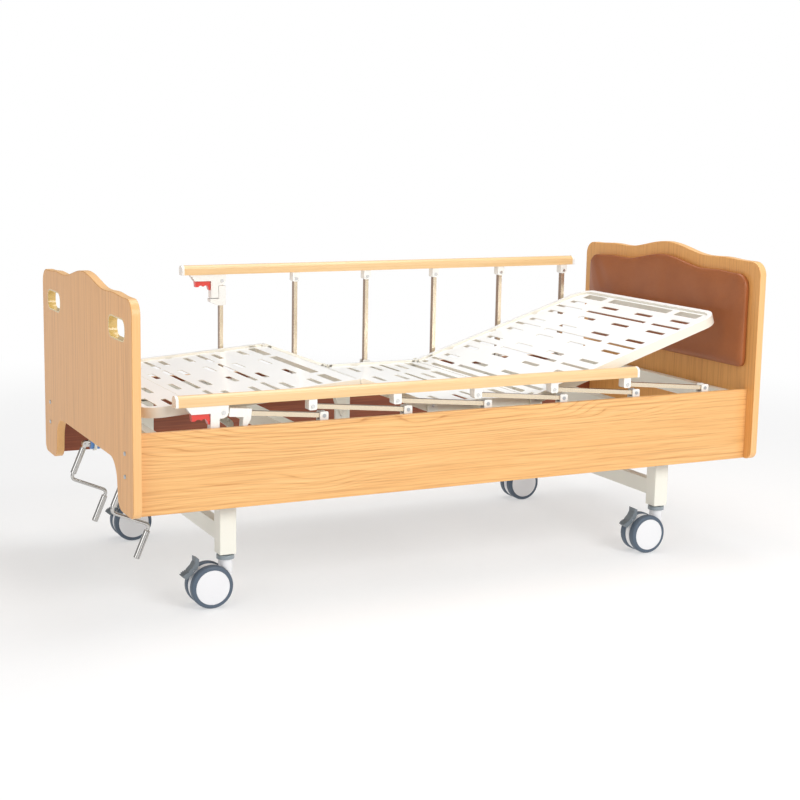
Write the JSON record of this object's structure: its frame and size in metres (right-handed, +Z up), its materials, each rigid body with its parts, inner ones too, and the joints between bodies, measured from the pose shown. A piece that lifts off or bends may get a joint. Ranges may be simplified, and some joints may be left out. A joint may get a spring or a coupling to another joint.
{
  "type": "adjustable hospital bed",
  "caption": "Two-crank adjustable bed with hinged perforated deck, folding side rails, crowned wooden end boards, padded headboard and swivel casters.",
  "frame": {"origin": "on the floor, under the middle of the bed", "axes": "+X from foot to head, +Y to the patient's left when lying on the back with the head at +X, +Z up"},
  "size_m": [2.126, 1, 0.984],
  "materials": {
    "board_wood": "satin laminate",
    "panel_wood": "satin laminate",
    "rail_wood": "satin lacquer",
    "handle_liner": "gloss",
    "leather": "soft grain",
    "frame_paint": "powder coat",
    "deck_paint": "powder coat",
    "steel": "satin",
    "chrome": "polished",
    "post_aluminium": "polished anodised",
    "white_plastic": "gloss",
    "red_plastic": "gloss",
    "blue_plastic": "gloss",
    "caster_white": "gloss",
    "tyre_rubber": "matte",
    "pedal_grey": "matte"
  },
  "bodies": {
    "frame": {"footboard": "board_wood", "headboard": "board_wood", "handle_liners": "handle_liner", "headboard_pad": "leather", "side_panels": "panel_wood", "main_frame": "frame_paint", "leg_frames": "frame_paint", "board_bolts": "steel", "base_brackets": "white_plastic", "frame_pins": "steel", "screw_bearings": "blue_plastic", "seat_deck": "deck_paint"},
    "back_deck": {"back_deck": "deck_paint"},
    "thigh_deck": {"thigh_deck": "deck_paint"},
    "leg_deck": {"leg_deck": "deck_paint"},
    "leg_stays": {"leg_stays": "frame_paint"},
    "back_screw": {"back_screw": "chrome"},
    "back_nut_tube": {"back_nut_tube": "frame_paint"},
    "back_crank": {"back_crank": "chrome"},
    "back_grip": {"back_grip": "chrome"},
    "knee_screw": {"knee_screw": "chrome"},
    "knee_nut_tube": {"knee_nut_tube": "frame_paint"},
    "knee_crank": {"knee_crank": "chrome"},
    "knee_grip": {"knee_grip": "chrome"},
    "near_post_1": {"near_post_1": "post_aluminium", "near_latch_hook": "white_plastic"},
    "near_post_2": {"near_post_2": "post_aluminium"},
    "near_post_3": {"near_post_3": "post_aluminium"},
    "near_post_4": {"near_post_4": "post_aluminium"},
    "near_post_5": {"near_post_5": "post_aluminium"},
    "near_post_6": {"near_post_6": "post_aluminium"},
    "near_rail": {"near_rail": "rail_wood", "near_rail_fittings": "white_plastic"},
    "near_trigger": {"near_trigger": "red_plastic"},
    "far_post_1": {"far_post_1": "post_aluminium", "far_latch_hook": "white_plastic"},
    "far_post_2": {"far_post_2": "post_aluminium"},
    "far_post_3": {"far_post_3": "post_aluminium"},
    "far_post_4": {"far_post_4": "post_aluminium"},
    "far_post_5": {"far_post_5": "post_aluminium"},
    "far_post_6": {"far_post_6": "post_aluminium"},
    "far_rail": {"far_rail": "rail_wood", "far_rail_fittings": "white_plastic"},
    "far_trigger": {"far_trigger": "red_plastic"},
    "foot_near_caster": {"foot_near_caster_housing": "caster_white"},
    "foot_near_caster_wheels": {"foot_near_caster_tyres": "tyre_rubber", "foot_near_caster_hubs": "caster_white"},
    "foot_near_caster_brake": {"foot_near_caster_pedal": "pedal_grey"},
    "foot_far_caster": {"foot_far_caster_housing": "caster_white"},
    "foot_far_caster_wheels": {"foot_far_caster_tyres": "tyre_rubber", "foot_far_caster_hubs": "caster_white"},
    "foot_far_caster_brake": {"foot_far_caster_pedal": "pedal_grey"},
    "head_near_caster": {"head_near_caster_housing": "caster_white"},
    "head_near_caster_wheels": {"head_near_caster_tyres": "tyre_rubber", "head_near_caster_hubs": "caster_white"},
    "head_near_caster_brake": {"head_near_caster_pedal": "pedal_grey"},
    "head_far_caster": {"head_far_caster_housing": "caster_white"},
    "head_far_caster_wheels": {"head_far_caster_tyres": "tyre_rubber", "head_far_caster_hubs": "caster_white"},
    "head_far_caster_brake": {"head_far_caster_pedal": "pedal_grey"}
  },
  "joints": [
    {"name": "back_tilt", "type": "hinge", "parent": "frame", "child": "back_deck", "pos_m": [0.257, 0, 0.54], "axis": [0, -1, 0], "range_deg": [-18, 57]},
    {"name": "knee_tilt", "type": "hinge", "parent": "frame", "child": "thigh_deck", "pos_m": [-0.1035, 0, 0.54], "axis": [0, 1, 0], "range_deg": [-20.6, 14.4]},
    {"name": "leg_fold", "type": "hinge", "parent": "thigh_deck", "child": "leg_deck", "pos_m": [-0.33134, 0, 0.62564], "axis": [0, -1, 0], "range_deg": [-24.72, 17.28]},
    {"name": "stay_swing", "type": "hinge", "parent": "frame", "child": "leg_stays", "pos_m": [-0.7389, 0, 0.524], "axis": [0, 1, 0], "range_deg": [-37.49, 26.21]},
    {"name": "back_screw_turn", "type": "hinge", "parent": "frame", "child": "back_screw", "pos_m": [-0.96, -0.228, 0.368], "axis": [-1, 0, 0], "range_deg": [-18, 57]},
    {"name": "back_nut_slide", "type": "slide", "parent": "frame", "child": "back_nut_tube", "axis": [1, 0, 0], "range_m": [-0.03841, 0.12163]},
    {"name": "back_crank_fold", "type": "hinge", "parent": "back_screw", "child": "back_crank", "pos_m": [-1, -0.228, 0.368], "axis": [0, 1, 0], "range_deg": [0, 67]},
    {"name": "back_grip_spin", "type": "hinge", "parent": "back_crank", "child": "back_grip", "pos_m": [-0.93196, -0.228, 0.21093], "axis": [-0.3907, 0, -0.9205], "continuous": true},
    {"name": "knee_screw_turn", "type": "hinge", "parent": "frame", "child": "knee_screw", "pos_m": [-0.96, 0.228, 0.368], "axis": [-1, 0, 0], "range_deg": [-32.96, 23.04]},
    {"name": "knee_nut_slide", "type": "slide", "parent": "frame", "child": "knee_nut_tube", "axis": [1, 0, 0], "range_m": [-0.03228, 0.04618]},
    {"name": "knee_crank_fold", "type": "hinge", "parent": "knee_screw", "child": "knee_crank", "pos_m": [-1, 0.228, 0.368], "axis": [0, 1, 0], "range_deg": [0, 67]},
    {"name": "knee_grip_spin", "type": "hinge", "parent": "knee_crank", "child": "knee_grip", "pos_m": [-0.93196, 0.228, 0.21093], "axis": [-0.3907, 0, -0.9205], "continuous": true},
    {"name": "near_post_1_swing", "type": "hinge", "parent": "frame", "child": "near_post_1", "pos_m": [-0.475, -0.43, 0.541], "axis": [0, 1, 0], "range_deg": [0, 84.6]},
    {"name": "near_post_2_swing", "type": "hinge", "parent": "frame", "child": "near_post_2", "pos_m": [-0.204, -0.43, 0.541], "axis": [0, 1, 0], "range_deg": [0, 84.6]},
    {"name": "near_post_3_swing", "type": "hinge", "parent": "frame", "child": "near_post_3", "pos_m": [0.067, -0.43, 0.541], "axis": [0, 1, 0], "range_deg": [0, 84.6]},
    {"name": "near_post_4_swing", "type": "hinge", "parent": "frame", "child": "near_post_4", "pos_m": [0.338, -0.43, 0.541], "axis": [0, 1, 0], "range_deg": [0, 84.6]},
    {"name": "near_post_5_swing", "type": "hinge", "parent": "frame", "child": "near_post_5", "pos_m": [0.609, -0.43, 0.541], "axis": [0, 1, 0], "range_deg": [0, 84.6]},
    {"name": "near_post_6_swing", "type": "hinge", "parent": "frame", "child": "near_post_6", "pos_m": [0.88, -0.43, 0.541], "axis": [0, 1, 0], "range_deg": [0, 84.6]},
    {"name": "near_rail_level", "type": "hinge", "parent": "near_post_1", "child": "near_rail", "pos_m": [-0.78163, -0.43, 0.56998], "axis": [0, -1, 0], "range_deg": [0, 84.6]},
    {"name": "near_trigger_squeeze", "type": "hinge", "parent": "near_rail", "child": "near_trigger", "pos_m": [-0.82563, -0.43, 0.57598], "axis": [0, 1, 0], "range_deg": [0, 8]},
    {"name": "far_post_1_swing", "type": "hinge", "parent": "frame", "child": "far_post_1", "pos_m": [-0.475, 0.43, 0.541], "axis": [0, -1, 0], "range_deg": [0, 84.6]},
    {"name": "far_post_2_swing", "type": "hinge", "parent": "frame", "child": "far_post_2", "pos_m": [-0.204, 0.43, 0.541], "axis": [0, -1, 0], "range_deg": [0, 84.6]},
    {"name": "far_post_3_swing", "type": "hinge", "parent": "frame", "child": "far_post_3", "pos_m": [0.067, 0.43, 0.541], "axis": [0, -1, 0], "range_deg": [0, 84.6]},
    {"name": "far_post_4_swing", "type": "hinge", "parent": "frame", "child": "far_post_4", "pos_m": [0.338, 0.43, 0.541], "axis": [0, -1, 0], "range_deg": [0, 84.6]},
    {"name": "far_post_5_swing", "type": "hinge", "parent": "frame", "child": "far_post_5", "pos_m": [0.609, 0.43, 0.541], "axis": [0, -1, 0], "range_deg": [0, 84.6]},
    {"name": "far_post_6_swing", "type": "hinge", "parent": "frame", "child": "far_post_6", "pos_m": [0.88, 0.43, 0.541], "axis": [0, -1, 0], "range_deg": [0, 84.6]},
    {"name": "far_rail_level", "type": "hinge", "parent": "far_post_1", "child": "far_rail", "pos_m": [-0.475, 0.43, 0.849], "axis": [0, 1, 0], "range_deg": [0, 84.6]},
    {"name": "far_trigger_squeeze", "type": "hinge", "parent": "far_rail", "child": "far_trigger", "pos_m": [-0.519, 0.43, 0.855], "axis": [0, 1, 0], "range_deg": [0, 8]},
    {"name": "foot_near_caster_swivel", "type": "hinge", "parent": "frame", "child": "foot_near_caster", "pos_m": [-0.757, -0.389, 0.14], "axis": [0, 0, 1], "continuous": true},
    {"name": "foot_near_caster_roll", "type": "hinge", "parent": "foot_near_caster", "child": "foot_near_caster_wheels", "pos_m": [-0.807, -0.389, 0.0625], "axis": [0, 1, 0], "continuous": true},
    {"name": "foot_near_caster_brake_press", "type": "hinge", "parent": "foot_near_caster", "child": "foot_near_caster_brake", "pos_m": [-0.85579, -0.389, 0.11129], "axis": [0, -1, 0], "range_deg": [0, 8]},
    {"name": "foot_far_caster_swivel", "type": "hinge", "parent": "frame", "child": "foot_far_caster", "pos_m": [-0.757, 0.389, 0.14], "axis": [0, 0, 1], "continuous": true},
    {"name": "foot_far_caster_roll", "type": "hinge", "parent": "foot_far_caster", "child": "foot_far_caster_wheels", "pos_m": [-0.807, 0.389, 0.0625], "axis": [0, 1, 0], "continuous": true},
    {"name": "foot_far_caster_brake_press", "type": "hinge", "parent": "foot_far_caster", "child": "foot_far_caster_brake", "pos_m": [-0.85579, 0.389, 0.11129], "axis": [0, -1, 0], "range_deg": [0, 8]},
    {"name": "head_near_caster_swivel", "type": "hinge", "parent": "frame", "child": "head_near_caster", "pos_m": [0.747, -0.389, 0.14], "axis": [0, 0, 1], "continuous": true},
    {"name": "head_near_caster_roll", "type": "hinge", "parent": "head_near_caster", "child": "head_near_caster_wheels", "pos_m": [0.697, -0.389, 0.0625], "axis": [0, 1, 0], "continuous": true},
    {"name": "head_near_caster_brake_press", "type": "hinge", "parent": "head_near_caster", "child": "head_near_caster_brake", "pos_m": [0.64821, -0.389, 0.11129], "axis": [0, -1, 0], "range_deg": [0, 8]},
    {"name": "head_far_caster_swivel", "type": "hinge", "parent": "frame", "child": "head_far_caster", "pos_m": [0.747, 0.389, 0.14], "axis": [0, 0, 1], "continuous": true},
    {"name": "head_far_caster_roll", "type": "hinge", "parent": "head_far_caster", "child": "head_far_caster_wheels", "pos_m": [0.697, 0.389, 0.0625], "axis": [0, 1, 0], "continuous": true},
    {"name": "head_far_caster_brake_press", "type": "hinge", "parent": "head_far_caster", "child": "head_far_caster_brake", "pos_m": [0.64821, 0.389, 0.11129], "axis": [0, -1, 0], "range_deg": [0, 8]}
  ],
  "couplings": [
    {"joint": "leg_fold", "follows": "knee_tilt", "ratio": 1.2},
    {"joint": "stay_swing", "follows": "knee_tilt", "ratio": 1.82},
    {"joint": "back_screw_turn", "follows": "back_tilt", "ratio": 1},
    {"joint": "back_nut_slide", "follows": "back_tilt", "m_per_rad": 0.12226},
    {"joint": "knee_screw_turn", "follows": "knee_tilt", "ratio": 1.6},
    {"joint": "knee_nut_slide", "follows": "knee_tilt", "m_per_rad": -0.12844},
    {"joint": "near_post_2_swing", "follows": "near_post_1_swing", "ratio": 1},
    {"joint": "near_post_3_swing", "follows": "near_post_1_swing", "ratio": 1},
    {"joint": "near_post_4_swing", "follows": "near_post_1_swing", "ratio": 1},
    {"joint": "near_post_5_swing", "follows": "near_post_1_swing", "ratio": 1},
    {"joint": "near_post_6_swing", "follows": "near_post_1_swing", "ratio": 1},
    {"joint": "near_rail_level", "follows": "near_post_1_swing", "ratio": 1},
    {"joint": "far_post_2_swing", "follows": "far_post_1_swing", "ratio": 1},
    {"joint": "far_post_3_swing", "follows": "far_post_1_swing", "ratio": 1},
    {"joint": "far_post_4_swing", "follows": "far_post_1_swing", "ratio": 1},
    {"joint": "far_post_5_swing", "follows": "far_post_1_swing", "ratio": 1},
    {"joint": "far_post_6_swing", "follows": "far_post_1_swing", "ratio": 1},
    {"joint": "far_rail_level", "follows": "far_post_1_swing", "ratio": 1}
  ]
}
